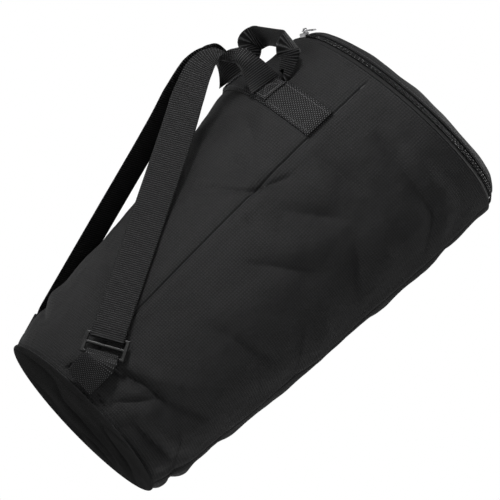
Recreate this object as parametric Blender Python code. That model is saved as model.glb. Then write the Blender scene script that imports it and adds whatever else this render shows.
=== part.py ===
"""Rope storage bag: a round fabric bag with a zipped lid, shoulder straps and a haul loop.

Metres, +Z up. The origin is the centre of the base. The straps are on the +Y side (the back).
Angles are measured from +Y towards -X, so the right-hand strap has a negative angle.
"""
import math

import bmesh
import bpy
from mathutils import Matrix, Vector

# --- driving dimensions -------------------------------------------------------------------
BASE_RADIUS = 0.110
RIM_RADIUS = 0.143
RIM_HEIGHT = 0.4765        # centre of the body's top edge
RIM_TILT = math.radians(5.5)    # the front of the rim stands higher than the back
WALL_BULGE = 0.009         # how far the filled wall swells at mid height
STRAP_TENT = 0.012         # how far the straps pull the back panel out
TENT_CENTRE = 0.80         # share of the wall's height
TENT_HEIGHT = 0.095        # share of the wall's height
TENT_SPREAD = 34.0         # degrees to each side
LID_CROWN = 0.0405         # height of the dome over the rim plane

FABRIC = 0.0020
TAPE = 0.0012
WEBBING = 0.0018
CLEARANCE = 0.0004

BACK_SEAM = 51.0           # degrees from the back to each back seam
FRONT_SEAM = 148.0         # degrees from the back to each front seam
SEAM_BINDING_WIDTH = 0.016
FACING_START = 0.955       # share of the wall where the rim facing begins

BAND_HEIGHT = 0.384        # centre of the strap anchor band
WEB_WIDTH = 0.038
PATCH_X = 0.050            # centre of the sewn patch at each strap's top
PATCH_WIDTH = 0.030
STEP = 6.0                 # degrees between the columns of round pieces

# zip, measured along the slope that leads from the body's edge to the lid
SLOPE = math.radians(35.0)      # lean of the zip band from upright
TAPE_START = 0.0020
BODY_COIL = (0.0069, 0.00985)
LID_COIL = (0.01015, 0.0131)
COIL_DEPTH = (-0.0018, 0.0004)
TAPE_DEPTH = (0.0008, 0.0020)
LID_EDGE = 0.0160
LID_SIDE_END = 0.0260
LID_DEPTH = (-0.0012, 0.0004)
LID_TAPE_END = 0.0215
HINGE_ARC = (-48.0, -18.0)
ZIP_START = -12.0
ZIP_END = 306.0
STOP_ARC = 2.0

SLIDER_ANGLE = -7.0
SLIDER_ARC = 8.0
SLIDER_PLATE = 0.0020
SLIDER_LIP = 0.0013
CROWN_LENGTH = 0.0110
CROWN_RISE = 0.0052
CROWN_BAR = 0.0014
CROWN_WIDTH = 0.0026
PULL_LENGTH = 0.0380
PULL_WIDTH = 0.0090
PULL_EYE_WIDTH = 0.0052
PULL_EYE_SPARE = 0.0008    # how far the eye reaches past the crown's leg
PULL_THICKNESS = 0.0012

HAUL_WIDTH = 0.0300
HAUL_FOOT_WIDTH = 0.0150
HAUL_HALF_SPAN = 0.0570
HAUL_TOP = 0.4400
HAUL_BAR_Y = 0.1635

ADJUSTER_AT = Vector((0.1010, 0.0745, 0.0520))
# The gripped strap leaves its patch level and twists: (place, direction across the webbing).
STRAP_WAY = [((0.0400, 0.1770, 0.3880), (0.45, 0.15, 0.80)),
             ((0.0300, 0.1930, 0.3850), (0.90, 0.10, 0.35)),
             ((0.0220, 0.2050, 0.3700), (0.80, -0.35, 0.10)),
             ((0.0200, 0.2050, 0.3480), (0.65, -0.60, 0.20)),
             ((0.0245, 0.1920, 0.3160), (0.55, -0.68, 0.35))]
STRAP_START = (0.0400, 0.0040)   # run and standoff where the strap nears its buckle
STRAP_BEND = Vector((0.0350, 0.1720, 0.2750))    # from here the strap runs straight down
ADJUSTER_WIDTH = 0.0500
ADJUSTER_HEIGHT = 0.0250
ADJUSTER_THICKNESS = 0.0034
ADJUSTER_RAIL = 0.0046
ADJUSTER_BAR = 0.0034
HOOK_END = 0.0100          # how far a webbing end is sewn back beyond the buckle's bar
HOOK_LIFT = 0.0012         # how far that end stands off at its last point
BAR_PAST = 0.0016          # where the webbing starts to turn round the bar
TURN_START = 0.0006
TURN_SHARE = 0.45          # share of the standoff at the two points inside the slot
TAB_FOOT_ANGLE = -56.5
TAB_FOOT_OFFSET = 0.0045   # room for the tab's foot to turn
TAB_FOOT_HEIGHT = 0.0050

BLACK_CLOTH = (0.018, 0.018, 0.020)
BLACK_WEB = (0.022, 0.022, 0.023)
BLACK_PLASTIC = (0.015, 0.015, 0.016)
SILVER = (0.72, 0.72, 0.73)


# --- helpers ------------------------------------------------------------------------------
def clear_scene():
    for item in list(bpy.data.objects):
        bpy.data.objects.remove(item, do_unlink=True)


def material(name, colour, roughness, metallic=0.0):
    made = bpy.data.materials.get(name)
    if made is None:
        made = bpy.data.materials.new(name)
        made.use_nodes = True
        shader = made.node_tree.nodes["Principled BSDF"]
        shader.inputs["Base Color"].default_value = (*colour, 1.0)
        shader.inputs["Roughness"].default_value = roughness
        shader.inputs["Metallic"].default_value = metallic
    return made


def cloth():
    return material("oxford_cloth", BLACK_CLOTH, 0.85)


def web():
    return material("webbing", BLACK_WEB, 0.75)


def plastic():
    return material("plastic", BLACK_PLASTIC, 0.45)


def metal():
    return material("silver_metal", SILVER, 0.3, 1.0)


def make_object(name, mesh, look, parent=None):
    mesh.materials.append(look)
    made = bpy.data.objects.new(name, mesh)
    bpy.context.scene.collection.objects.link(made)
    if parent is not None:
        made.parent = parent
    return made


def finish_mesh(name, bm):
    bmesh.ops.recalc_face_normals(bm, faces=bm.faces)
    mesh = bpy.data.meshes.new(name)
    bm.to_mesh(mesh)
    bm.free()
    return mesh


def grid_block(name, columns, closed=False):
    """A block from columns; each column is (outer points, inner points) of equal length."""
    bm = bmesh.new()
    rings = []
    for outer, inner in columns:
        loop = [bm.verts.new(p) for p in outer] + [bm.verts.new(p) for p in reversed(inner)]
        rings.append(loop)
    count = len(rings)
    size = len(rings[0])
    for index in range(count if closed else count - 1):
        here = rings[index]
        there = rings[(index + 1) % count]
        for k in range(size):
            following = (k + 1) % size
            bm.faces.new((here[k], there[k], there[following], here[following]))
    if not closed:
        rows = size // 2
        for loop in (rings[0], rings[-1]):
            for k in range(rows - 1):
                bm.faces.new((loop[k], loop[k + 1], loop[size - 2 - k], loop[size - 1 - k]))
    return finish_mesh(name, bm)


def angles_between(first, last, step=STEP):
    """Both ends and every multiple of the step between them."""
    low, high = min(first, last), max(first, last)
    inner = []
    k = math.ceil((low + 0.5) / step)
    while k * step < high - 0.5:
        inner.append(k * step)
        k += 1
    return [low] + inner + [high]


# --- the body's wall ----------------------------------------------------------------------
def rim_matrix():
    return Matrix.Translation((0.0, 0.0, RIM_HEIGHT)) @ Matrix.Rotation(-RIM_TILT, 4, "X")


def tent(angle, share):
    """How far the straps pull the wall out at this place."""
    across = (angle / TENT_SPREAD) ** 2
    along = ((share - TENT_CENTRE) / TENT_HEIGHT) ** 2
    return STRAP_TENT * math.exp(-along) / (1.0 + across ** 2)


def wall_point(angle, share, depth=0.0):
    """A point of the wall: share 0 is the base seam, 1 the rim; depth is inwards."""
    a = math.radians(angle)
    radial = Vector((-math.sin(a), math.cos(a), 0.0))
    foot = radial * (BASE_RADIUS - depth) + Vector((0.0, 0.0, FABRIC + CLEARANCE))
    head = rim_matrix() @ (radial * (RIM_RADIUS - depth))
    swell = WALL_BULGE * math.sin(math.pi * share) + tent(angle, share)
    return foot.lerp(head, share) + radial * swell


def share_at(height):
    """Share of the wall's height at the back for a height over the floor."""
    low = FABRIC + CLEARANCE
    top = wall_point(0.0, 1.0).z
    return (height - low) / (top - low)


def band_shares():
    return share_at(BAND_HEIGHT - WEB_WIDTH / 2), share_at(BAND_HEIGHT + WEB_WIDTH / 2)


def wall_rows():
    low, high = band_shares()
    rows = [0.0, 0.028, 0.14, 0.28, 0.42, 0.56, 0.68, low, (low + high) / 2, high]
    rows += [(high + FACING_START) / 2, FACING_START, 1.0]
    return rows


def wall_patch(name, first, last, rows, near, far, step=STEP):
    """A piece that follows the wall between two angles, two depths and some rows."""
    columns = []
    for angle in angles_between(first, last, step):
        outer = [wall_point(angle, share, near) for share in rows]
        inner = [wall_point(angle, share, far) for share in rows]
        columns.append((outer, inner))
    return grid_block(name, columns)


def gap_angle(radius):
    return math.degrees(CLEARANCE / 2 / radius)


def build_panels():
    gap = gap_angle(BASE_RADIUS)
    spans = {
        "back_panel": (-BACK_SEAM, BACK_SEAM),
        "side_panel_left": (BACK_SEAM, FRONT_SEAM),
        "side_panel_right": (-FRONT_SEAM, -BACK_SEAM),
        "front_panel": (FRONT_SEAM, 360.0 - FRONT_SEAM),
    }
    for name, (first, last) in spans.items():
        mesh = wall_patch(name, first + gap, last - gap, wall_rows(), 0.0, FABRIC)
        make_object(name, mesh, cloth())


def build_seam_bindings():
    near = FABRIC + CLEARANCE
    half = math.degrees(SEAM_BINDING_WIDTH / 2 / RIM_RADIUS)
    rows = [row for row in wall_rows() if 0.0 < row < FACING_START]
    seams = {
        "back_seam_binding_left": BACK_SEAM,
        "back_seam_binding_right": -BACK_SEAM,
        "front_seam_binding_left": FRONT_SEAM,
        "front_seam_binding_right": -FRONT_SEAM,
    }
    rows[0] += CLEARANCE * 2 / RIM_HEIGHT
    rows.append(FACING_START - CLEARANCE * 2 / RIM_HEIGHT)
    for name, angle in seams.items():
        mesh = wall_patch(name, angle - half, angle + half, rows, near, near + TAPE)
        make_object(name, mesh, web())


def build_base():
    count = round(360 / STEP)
    bm = bmesh.new()
    bmesh.ops.create_cone(bm, cap_ends=True, segments=count, radius1=BASE_RADIUS,
                          radius2=BASE_RADIUS, depth=FABRIC,
                          matrix=Matrix.Translation((0.0, 0.0, FABRIC / 2)))
    make_object("base_panel", finish_mesh("base_panel", bm), cloth())
    low = wall_rows()[0]
    high = wall_rows()[1]
    near = FABRIC + CLEARANCE
    columns = []
    for k in range(count):
        angle = k * STEP
        outer = [wall_point(angle, low, near), wall_point(angle, high, near)]
        inner = [wall_point(angle, low, near + TAPE), wall_point(angle, high, near + TAPE)]
        columns.append((outer, inner))
    make_object("base_binding", grid_block("base_binding", columns, closed=True), web())


def build_facing():
    near = FABRIC + CLEARANCE
    rows = wall_rows()[-2:]
    columns = []
    for k in range(round(360 / STEP)):
        outer = [wall_point(k * STEP, row, near) for row in rows]
        inner = [wall_point(k * STEP, row, near + TAPE) for row in rows]
        columns.append((outer, inner))
    make_object("rim_facing", grid_block("rim_facing", columns, closed=True), web())


# --- lid and zip, built in the tilted rim frame -------------------------------------------
def slope_point(angle, along, depth):
    """A point of the zip band in the rim frame."""
    a = math.radians(angle)
    radius = RIM_RADIUS - along * math.sin(SLOPE) - depth * math.cos(SLOPE)
    height = along * math.cos(SLOPE) - depth * math.sin(SLOPE)
    return Vector((-radius * math.sin(a), radius * math.cos(a), height))


def slope_arc(name, first, last, along, depth, look, parent):
    columns = []
    for angle in angles_between(first, last):
        outer = [slope_point(angle, b, depth[0]) for b in along]
        inner = [slope_point(angle, b, depth[1]) for b in along]
        columns.append((outer, inner))
    return make_object(name, grid_block(name, columns), look, parent)


def lid_profile(depth):
    """Radius and height of the lid's skin from its edge to near the crown."""
    points = []
    for along in (LID_EDGE, (LID_EDGE + LID_SIDE_END) / 2, LID_SIDE_END):
        point = slope_point(0.0, along, depth)
        points.append((point.y, point.z))
    edge_radius, edge_height = points[-1]
    rise = LID_CROWN - (depth - LID_DEPTH[0]) - edge_height
    for share in (0.95, 0.84, 0.66, 0.44, 0.2):
        points.append((edge_radius * share, edge_height + rise * (1 - share ** 2)))
    return points


def build_lid(parent):
    count = round(360 / STEP)
    bm = bmesh.new()
    skins = []
    for depth in LID_DEPTH:
        profile = lid_profile(depth)
        rings = []
        for radius, height in profile:
            ring = []
            for k in range(count):
                a = math.radians(k * STEP)
                ring.append(bm.verts.new((-radius * math.sin(a), radius * math.cos(a), height)))
            rings.append(ring)
        crown = bm.verts.new((0.0, 0.0, LID_CROWN - (depth - LID_DEPTH[0])))
        for low, high in zip(rings, rings[1:]):
            for k in range(count):
                following = (k + 1) % count
                bm.faces.new((low[k], low[following], high[following], high[k]))
        for k in range(count):
            bm.faces.new((rings[-1][k], rings[-1][(k + 1) % count], crown))
        skins.append(rings[0])
    for k in range(count):
        following = (k + 1) % count
        bm.faces.new((skins[0][k], skins[0][following], skins[1][following], skins[1][k]))
    make_object("lid_panel", finish_mesh("lid_panel", bm), cloth(), parent)
    near = LID_DEPTH[1] + CLEARANCE
    begin = LID_TAPE_END + CLEARANCE
    columns = []
    for k in range(count):
        outer = [slope_point(k * STEP, b, near) for b in (begin, LID_SIDE_END)]
        inner = [slope_point(k * STEP, b, near + TAPE) for b in (begin, LID_SIDE_END)]
        columns.append((outer, inner))
    mesh = grid_block("lid_binding", columns, closed=True)
    make_object("lid_binding", mesh, web(), parent)


def build_zip(parent):
    body_tape = (TAPE_START, BODY_COIL[0] + 0.0011)
    lid_tape = (LID_COIL[0] + 0.0003, LID_TAPE_END)
    arc = (ZIP_START, ZIP_END)
    slope_arc("body_zip_tape", *arc, body_tape, TAPE_DEPTH, cloth(), parent)
    slope_arc("body_zip_coil", *arc, BODY_COIL, COIL_DEPTH, plastic(), parent)
    slope_arc("lid_zip_tape", *arc, lid_tape, TAPE_DEPTH, cloth(), parent)
    slope_arc("lid_zip_coil", *arc, LID_COIL, COIL_DEPTH, plastic(), parent)
    hinge = (TAPE_START, LID_EDGE - CLEARANCE)
    slope_arc("lid_hinge", *HINGE_ARC, hinge, (-0.0008, 0.0010), web(), parent)
    stop = (BODY_COIL[0], LID_COIL[1])
    gap = math.degrees(CLEARANCE / (RIM_RADIUS - LID_COIL[1]))
    for name, end, way in (("top", ZIP_START, -1), ("bottom", ZIP_END, 1)):
        near = end + way * gap
        far = near + way * STOP_ARC
        slope_arc("zip_stop_" + name, near, far, stop, COIL_DEPTH, plastic(), parent)


def box_mesh(bm, low, high):
    """Add a box between two corners."""
    size = Vector(high) - Vector(low)
    centre = (Vector(high) + Vector(low)) / 2
    place = Matrix.Translation(centre) @ Matrix.Diagonal((*size, 1.0))
    bmesh.ops.create_cube(bm, size=1.0, matrix=place)


def slider_matrix():
    """The slider's place in the rim frame: X along the zip, Y across it, Z out of the bag."""
    a = math.radians(SLIDER_ANGLE)
    along = Vector((-math.cos(a), -math.sin(a), 0.0))
    radial = Vector((-math.sin(a), math.cos(a), 0.0))
    outward = radial * math.cos(SLOPE) + Vector((0.0, 0.0, math.sin(SLOPE)))
    across = outward.cross(along)
    middle = (BODY_COIL[0] + LID_COIL[1]) / 2
    place = slope_point(SLIDER_ANGLE, middle, COIL_DEPTH[0] - CLEARANCE - SLIDER_PLATE)
    rows = Matrix((along, across, outward)).transposed().to_4x4()
    return Matrix.Translation(place) @ rows


def zip_frame(parent):
    """An empty on the slider, which carries the crown and the pull."""
    frame = bpy.data.objects.new("slider_frame", None)
    bpy.context.scene.collection.objects.link(frame)
    frame.parent = parent
    frame.matrix_basis = slider_matrix()
    return frame


def plate_outline():
    """The slider's section: a plate with a lip below the body's coil.

    The plate's upper edge leans back, so that the lid's coil can rise past it.
    """
    top = COIL_DEPTH[0] - CLEARANCE - SLIDER_PLATE
    under = COIL_DEPTH[0] - CLEARANCE
    foot = COIL_DEPTH[1]
    lip = BODY_COIL[0] - CLEARANCE
    low = lip - SLIDER_LIP
    high = LID_COIL[0]
    lean = SLIDER_PLATE * math.tan(SLOPE)
    return ([(low, foot), (low, top), (high + lean, top)],
            [(lip, foot), (lip, under), (high, under)])


def build_slider():
    outer, inner = plate_outline()
    columns = []
    place = rim_matrix()
    for k in range(4):
        angle = SLIDER_ANGLE + SLIDER_ARC * (k / 3 - 0.5)
        columns.append(([place @ slope_point(angle, *p) for p in outer],
                        [place @ slope_point(angle, *p) for p in inner]))
    slider = make_object("zip_slider", grid_block("zip_slider", columns), metal())
    sunk = 0.0011
    half = CROWN_LENGTH / 2
    legs = [((-half, -CROWN_WIDTH / 2, -sunk), (-half + CROWN_BAR, CROWN_WIDTH / 2, CROWN_RISE)),
            ((half - CROWN_BAR, -CROWN_WIDTH / 2, -sunk), (half, CROWN_WIDTH / 2, CROWN_RISE)),
            ((-half, -CROWN_WIDTH / 2, CROWN_RISE - CROWN_BAR),
             (half, CROWN_WIDTH / 2, CROWN_RISE))]
    for k, (low, high) in enumerate(legs):
        bm = bmesh.new()
        box_mesh(bm, low, high)
        cutter = make_object("crown_guide_%d" % k, finish_mesh("crown_guide", bm), metal())
        cutter.matrix_basis = rim_matrix() @ slider_matrix()
        cutter.hide_render = True
        cutter.display_type = "WIRE"
        union = slider.modifiers.new("crown_%d" % k, "BOOLEAN")
        union.operation = "UNION"
        union.solver = "EXACT"
        union.object = cutter
    return slider


def build_pull(frame):
    """A flat tab with an eye round the crown's bar; its origin is on the eye's bar."""
    width = PULL_EYE_WIDTH
    bar = CROWN_BAR
    xs = [-bar / 2, bar / 2, CROWN_LENGTH / 2 + PULL_EYE_SPARE, PULL_LENGTH * 0.55, PULL_LENGTH]
    half = [PULL_WIDTH / 2 * f for f in (0.86, 0.92, 1.0, 0.86, 0.62)]
    bm = bmesh.new()
    thick = PULL_THICKNESS / 2
    rows = []
    for x, w in zip(xs, half):
        hole = min(width / 2, w - 0.0012)
        rows.append([bm.verts.new((x, y, thick)) for y in (-w, -hole, hole, w)])
    for k in range(len(rows) - 1):
        for j in range(3):
            if k == 1 and j == 1:
                continue
            bm.faces.new((rows[k][j], rows[k + 1][j], rows[k + 1][j + 1], rows[k][j + 1]))
    faces = list(bm.faces)
    out = bmesh.ops.extrude_face_region(bm, geom=faces)
    moved = [item for item in out["geom"] if isinstance(item, bmesh.types.BMVert)]
    bmesh.ops.translate(bm, verts=moved, vec=(0.0, 0.0, -2 * thick))
    pull = make_object("zip_pull", finish_mesh("zip_pull", bm), metal(), frame)
    pull.location = (0.0, 0.0, (CROWN_RISE - CROWN_BAR) / 2 + 0.0002)
    return pull


# --- webbing ------------------------------------------------------------------------------
def smooth_route(points, steps):
    """Points on a Catmull-Rom curve through (position, width direction) pairs."""
    pairs = [(Vector(p), Vector(w).normalized()) for p, w in points]
    padded = [pairs[0]] + pairs + [pairs[-1]]
    route = []
    for k in range(1, len(padded) - 2):
        p0, p1, p2, p3 = (padded[k + i][0] for i in (-1, 0, 1, 2))
        for j in range(steps):
            u = j / steps
            place = 0.5 * (2 * p1 + (p2 - p0) * u + (2 * p0 - 5 * p1 + 4 * p2 - p3) * u ** 2
                           + (3 * p1 - p0 - 3 * p2 + p3) * u ** 3)
            route.append((place, padded[k][1].lerp(padded[k + 1][1], u)))
    route.append(pairs[-1])
    return route


def ribbon(name, route, width, thickness, look):
    """A flat band along a route; width may be a number or one number for each point."""
    count = len(route)
    columns = []
    for k, (place, across) in enumerate(route):
        before = route[max(k - 1, 0)][0]
        after = route[min(k + 1, count - 1)][0]
        run_in = (place - before).normalized() if k else (after - place).normalized()
        run_out = (after - place).normalized() if k < count - 1 else run_in
        run = (run_in + run_out).normalized()
        side = (across - run * across.dot(run)).normalized()
        flat = run.cross(side)
        stretch = 1.0 / max(run.dot(run_in), 0.5)
        wide = width[k] if isinstance(width, list) else width
        edge = side * wide / 2
        lift = flat * thickness / 2 * stretch
        columns.append(([place - edge + lift, place + edge + lift],
                        [place - edge - lift, place + edge - lift]))
    return make_object(name, grid_block(name, columns), look)


def build_band():
    seat = -2 * CLEARANCE
    near = seat - WEBBING
    low, high = band_shares()
    rows = [low, (low + high) / 2, high]
    gap = gap_angle(RIM_RADIUS)
    mesh = wall_patch("strap_anchor_band", -BACK_SEAM + gap, BACK_SEAM - gap, rows, near, seat)
    make_object("strap_anchor_band", mesh, web())
    far = near - CLEARANCE
    for side, name in ((1, "left"), (-1, "right")):
        centre = side * math.degrees(PATCH_X / (RIM_RADIUS + STRAP_TENT))
        half = math.degrees(PATCH_WIDTH / 2 / RIM_RADIUS)
        inset = 0.08 * (high - low)
        rows = [low + inset, (low + high) / 2, high - inset]
        mesh = wall_patch("strap_patch_" + name, centre - half, centre + half, rows,
                          far - WEBBING, far, STEP / 2)
        make_object("strap_patch_" + name, mesh, web())


def mirrored(vector, side):
    return Vector((vector[0] * side, vector[1], vector[2]))


def strap_top():
    """Where the right-hand strap leaves its patch."""
    a = math.degrees(PATCH_X / (RIM_RADIUS + STRAP_TENT))
    share = share_at(BAND_HEIGHT)
    face = wall_point(-a, share, -2 * WEBBING - 5 * CLEARANCE)
    return face


def strap_foot():
    """Where the right-hand tab meets the base seam."""
    return wall_point(TAB_FOOT_ANGLE, 0.0, -TAB_FOOT_OFFSET - WEBBING / 2) + Vector(
        (0.0, 0.0, TAB_FOOT_HEIGHT - FABRIC))


def swing_axis():
    return (strap_top() - strap_foot()).normalized()


def adjuster_axes():
    """Bar direction, run of the strap and outward normal at the right-hand adjuster."""
    hint = Vector((0.82, 0.57, 0.0))
    run = (STRAP_BEND - ADJUSTER_AT).normalized()
    outward = (hint - run * hint.dot(run)).normalized()
    return run.cross(outward), run, outward


def adjuster_slot():
    """Height of each of the two slots."""
    return (ADJUSTER_HEIGHT - 3 * ADJUSTER_BAR) / 2


def build_adjuster(name, side):
    bar, run, outward = adjuster_axes()
    slot = adjuster_slot()
    half = ADJUSTER_WIDTH / 2
    us = [-half, -half + ADJUSTER_RAIL, half - ADJUSTER_RAIL, half]
    vs = [-ADJUSTER_HEIGHT / 2]
    for size in (ADJUSTER_BAR, slot, ADJUSTER_BAR, slot, ADJUSTER_BAR):
        vs.append(vs[-1] + size)
    bm = bmesh.new()
    grid = [[bm.verts.new((u, v, ADJUSTER_THICKNESS / 2)) for u in us] for v in vs]
    for j in range(5):
        for i in range(3):
            if i == 1 and j in (1, 3):
                continue
            bm.faces.new((grid[j][i], grid[j][i + 1], grid[j + 1][i + 1], grid[j + 1][i]))
    out = bmesh.ops.extrude_face_region(bm, geom=list(bm.faces))
    moved = [item for item in out["geom"] if isinstance(item, bmesh.types.BMVert)]
    bmesh.ops.translate(bm, verts=moved, vec=(0.0, 0.0, -ADJUSTER_THICKNESS))
    rows = Matrix((bar, run, outward)).transposed().to_4x4()
    place = Matrix.Diagonal((side, 1.0, 1.0, 1.0)) @ Matrix.Translation(ADJUSTER_AT) @ rows
    bmesh.ops.transform(bm, matrix=place, verts=bm.verts)
    make_object(name, finish_mesh(name, bm), plastic())


def hook(sign):
    """Route of a webbing end round an outer bar: (run, outward) offsets from the centre."""
    slot = adjuster_slot()
    bar_centre = ADJUSTER_HEIGHT / 2 - ADJUSTER_BAR / 2
    off = ADJUSTER_THICKNESS / 2 + CLEARANCE + WEBBING / 2
    inside = ADJUSTER_HEIGHT / 2 - ADJUSTER_BAR - CLEARANCE - WEBBING / 2
    spare = min(slot - WEBBING - 2 * CLEARANCE, WEBBING) * 0.2
    over = [(bar_centre + HOOK_END, off + HOOK_LIFT), (bar_centre + BAR_PAST, off),
            (inside + TURN_START, off), (inside - spare, off * TURN_SHARE)]
    under = [(inside - spare, -off * TURN_SHARE), (inside + TURN_START, -off),
             (bar_centre + BAR_PAST, -off), (bar_centre + HOOK_END, -off)]
    return [(sign * along, out) for along, out in over + under]


def strap_route(side):
    bar, run, outward = adjuster_axes()
    axis = swing_axis()
    top = strap_top()
    way = [(top, axis)] + [(Vector(place), Vector(across)) for place, across in STRAP_WAY]
    way.append((STRAP_BEND, -bar))
    start = ADJUSTER_AT + run * STRAP_START[0] + outward * STRAP_START[1]
    way.append((way[-1][0].lerp(start, 0.5), -bar))
    way.append((start, -bar))
    route = smooth_route(way, 3)
    for along, out in hook(1.0):
        route.append((ADJUSTER_AT + run * along + outward * out, -bar))
    return [(mirrored(p, side), mirrored(w, side)) for p, w in route]


def tab_route(side):
    bar, run, outward = adjuster_axes()
    a = math.radians(TAB_FOOT_ANGLE)
    tangent = Vector((math.cos(a), math.sin(a), 0.0))
    foot = strap_foot()
    route = [(foot, tangent)]
    end = hook(-1.0)
    first = ADJUSTER_AT + run * end[0][0] + outward * end[0][1]
    route.append((foot.lerp(first, 0.5) + outward * 0.0015, tangent.lerp(-bar, 0.5)))
    for along, out in end:
        route.append((ADJUSTER_AT + run * along + outward * out, -bar))
    return [(mirrored(p, side), mirrored(w, side)) for p, w in route]


def build_straps():
    for side, name in ((-1, "left"), (1, "right")):
        ribbon("shoulder_strap_" + name, strap_route(side), WEB_WIDTH, WEBBING, web())
        build_adjuster("strap_adjuster_" + name, side)
        ribbon("strap_tab_" + name, tab_route(side), WEB_WIDTH, WEBBING, web())


def haul_foot():
    """Place of the loop's right-hand foot, on the anchor band's upper edge."""
    low = band_shares()[1]
    angle = -math.degrees(math.asin(HAUL_HALF_SPAN / (RIM_RADIUS + STRAP_TENT / 2)))
    edge = wall_point(angle, low, -2 * CLEARANCE)
    inside = HAUL_HALF_SPAN - WEBBING / 2
    wall_y = math.sqrt(edge.xy.length ** 2 - inside ** 2)
    return wall_y + HAUL_FOOT_WIDTH / 2, edge.z + CLEARANCE


def build_haul_loop():
    foot_y, low = haul_foot()
    half = HAUL_HALF_SPAN
    across = Vector((0.0, 1.0, 0.0))
    bend = 0.012
    middle_width = (HAUL_FOOT_WIDTH + HAUL_WIDTH) / 2
    half_way = [((half, foot_y, low), HAUL_FOOT_WIDTH),
                ((half, foot_y, low + 2 * WEBBING), HAUL_FOOT_WIDTH),
                ((half, (foot_y + HAUL_BAR_Y) / 2, (low + HAUL_TOP) / 2), middle_width),
                ((half, HAUL_BAR_Y, HAUL_TOP - bend), HAUL_WIDTH),
                ((half - 0.3 * bend, HAUL_BAR_Y, HAUL_TOP - 0.3 * bend), HAUL_WIDTH),
                ((half - bend, HAUL_BAR_Y, HAUL_TOP), HAUL_WIDTH),
                ((half * 0.4, HAUL_BAR_Y, HAUL_TOP), HAUL_WIDTH)]
    other = [(mirrored(p, -1), w) for p, w in reversed(half_way)]
    way = [(Vector(p), w) for p, w in half_way] + other
    route = [(p, across) for p, w in way]
    ribbon("haul_loop", route, [w for p, w in way], WEBBING, web())


def main():
    clear_scene()
    build_base()
    build_panels()
    build_seam_bindings()
    build_facing()
    rim = bpy.data.objects.new("rim_frame", None)
    bpy.context.scene.collection.objects.link(rim)
    rim.matrix_basis = rim_matrix()
    build_lid(rim)
    build_zip(rim)
    frame = zip_frame(rim)
    build_slider()
    build_pull(frame)
    build_band()
    build_straps()
    build_haul_loop()


main()
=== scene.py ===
"""Looks of the rope storage bag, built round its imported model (the frame).

Metres, +Z up, straps on the +Y side. Angles are measured from +Y towards -X.
"""
import math
from functools import lru_cache

import bmesh
import bpy
import numpy as np
from mathutils import Matrix, Vector, noise


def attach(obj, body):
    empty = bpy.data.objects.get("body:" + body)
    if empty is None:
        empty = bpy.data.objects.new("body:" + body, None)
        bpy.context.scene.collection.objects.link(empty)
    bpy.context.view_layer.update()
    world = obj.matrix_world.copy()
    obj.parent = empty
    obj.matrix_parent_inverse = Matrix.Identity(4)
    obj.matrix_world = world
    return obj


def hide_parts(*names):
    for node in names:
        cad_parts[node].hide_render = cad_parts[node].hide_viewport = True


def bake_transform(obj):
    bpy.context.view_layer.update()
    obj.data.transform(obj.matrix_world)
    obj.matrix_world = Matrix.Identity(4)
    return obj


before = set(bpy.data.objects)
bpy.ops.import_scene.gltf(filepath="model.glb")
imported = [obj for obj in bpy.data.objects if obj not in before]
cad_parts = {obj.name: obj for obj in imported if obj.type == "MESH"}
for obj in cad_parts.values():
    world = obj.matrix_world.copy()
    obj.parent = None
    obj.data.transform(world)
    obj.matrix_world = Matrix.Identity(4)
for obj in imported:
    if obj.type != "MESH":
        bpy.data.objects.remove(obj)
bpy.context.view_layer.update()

# --- sizes that repeat the CAD model's ---
BASE_RADIUS = 0.110
RIM_RADIUS = 0.143
RIM_HEIGHT = 0.4765
RIM_TILT = math.radians(5.5)
WALL_BULGE = 0.009
STRAP_TENT = 0.012
TENT_CENTRE = 0.80
TENT_HEIGHT = 0.095
TENT_SPREAD = 34.0
LID_CROWN = 0.0405
WALL_FOOT = 0.0024
FOOT_TUCK = 0.0028         # how far the base seam draws the wall in
CLOTH = 0.0011
WEBBING = 0.0017
WEB_WIDTH = 0.038
BACK_SEAM = 51.0
FRONT_SEAM = 148.0
BAND_HEIGHT = 0.384
PATCH_X = 0.050
PATCH_WIDTH = 0.030
SLOPE = math.radians(35.0)
BODY_COIL = (0.0069, 0.00985)
LID_COIL = (0.01015, 0.0131)
COIL_MIDDLE = -0.0007
LID_EDGE = 0.0160
LID_SIDE_END = 0.0260
HINGE_ARC = (-48.0, -18.0)
ZIP_ARC = (-12.0, 306.0)
SEAMS = (BACK_SEAM, -BACK_SEAM, FRONT_SEAM, -FRONT_SEAM)
UNROLL = 0.13              # radius at which angles become metres of cloth

# --- the view ---
VIEW_SIDE = Vector((-0.951, 0.309, 0.0))
VIEW_BELOW = math.radians(12.0)
VIEW_ROLL = math.radians(46.4)
VIEW_DISTANCE = 6.6
VIEW_LENS = 432.0
VIEW_TARGET = Vector((0.0022, 0.0068, 0.2650))
ROOM_LIGHT = 0.13
FLOOR_GLOW = 0.15
FLOOR_SEEN = 0.40
FLOOR_FAR = 0.88
FLOOR_REACH = 2.0          # distance at which the floor looks its palest
FLOOR_OPENING = 0.092      # radius of the floor's opening under the base


# --- the wall's shape ---
def rim_matrix():
    return Matrix.Translation((0.0, 0.0, RIM_HEIGHT)) @ Matrix.Rotation(-RIM_TILT, 4, "X")


RIM = rim_matrix()

FOLD_GAIN = 1.3
STRAP_PRESS = 0.8          # share of the swelling that a strap presses back

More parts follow.
